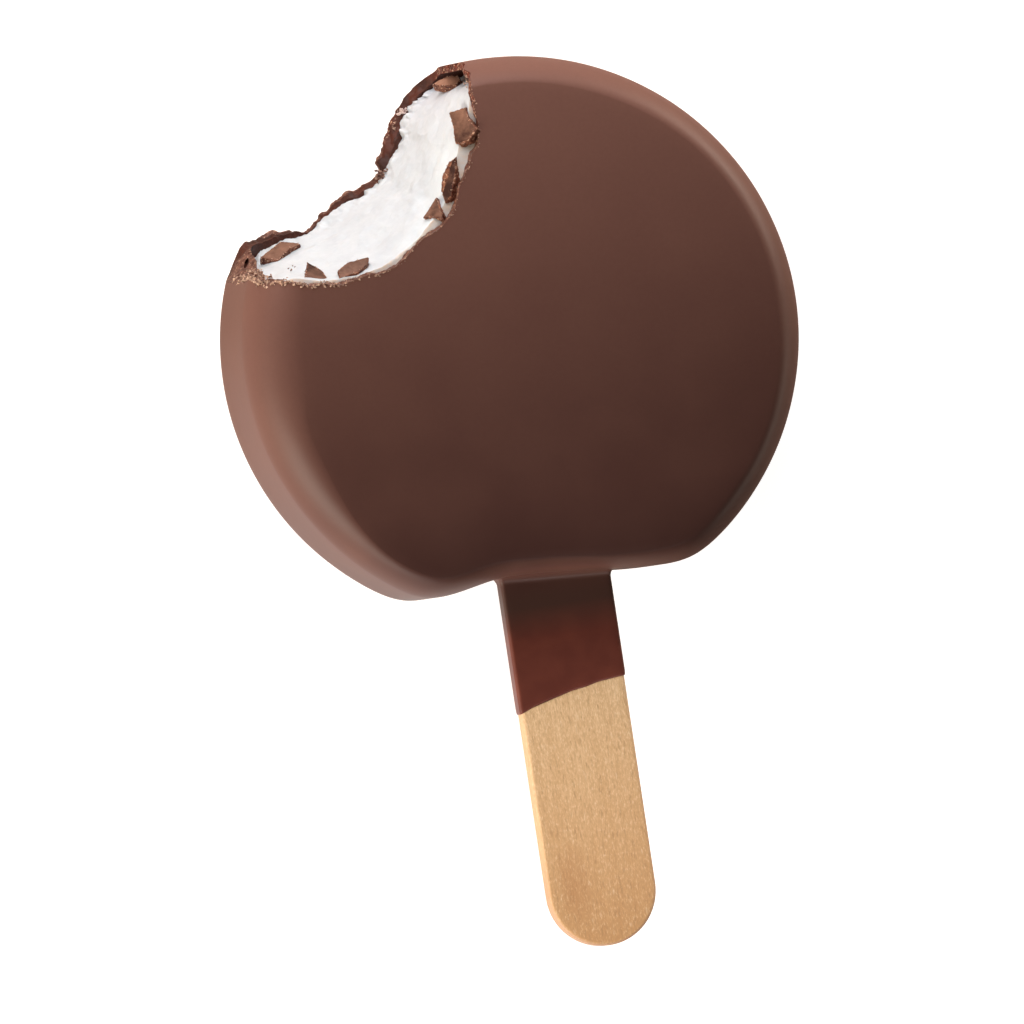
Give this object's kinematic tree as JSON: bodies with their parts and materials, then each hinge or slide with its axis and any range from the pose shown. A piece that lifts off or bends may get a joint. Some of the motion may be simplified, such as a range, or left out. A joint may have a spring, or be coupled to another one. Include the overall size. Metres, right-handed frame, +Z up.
{
  "type": "ice cream bar",
  "caption": "Round chocolate-coated ice cream bar on a flat wooden stick, bitten at the upper left so that the white ice cream and shards of coating show.",
  "frame": {"origin": "centre of the round bar, on the flat back face that it rests on", "axes": "+X across the bar, +Y along the stick towards the top of the round, +Z up out of the front face"},
  "size_m": [0.0718, 0.1121, 0.023],
  "materials": {
    "chocolate": "satin milk chocolate, smooth",
    "broken_chocolate": "broken milk chocolate, satin faces and crumbly edges",
    "ice_cream": "soft white, bitten and slightly wet",
    "stick_wood": "bare planed birch"
  },
  "bodies": {
    "root": {"chocolate_coating": "chocolate", "ice_cream": "ice_cream", "wooden_stick": "stick_wood", "chocolate_shard_1": "broken_chocolate", "chocolate_shard_2": "broken_chocolate", "chocolate_shard_3": "broken_chocolate", "chocolate_shard_4": "broken_chocolate", "chocolate_shard_5": "broken_chocolate", "chocolate_shard_6": "broken_chocolate", "chocolate_shard_7": "broken_chocolate"}
  },
  "joints": []
}
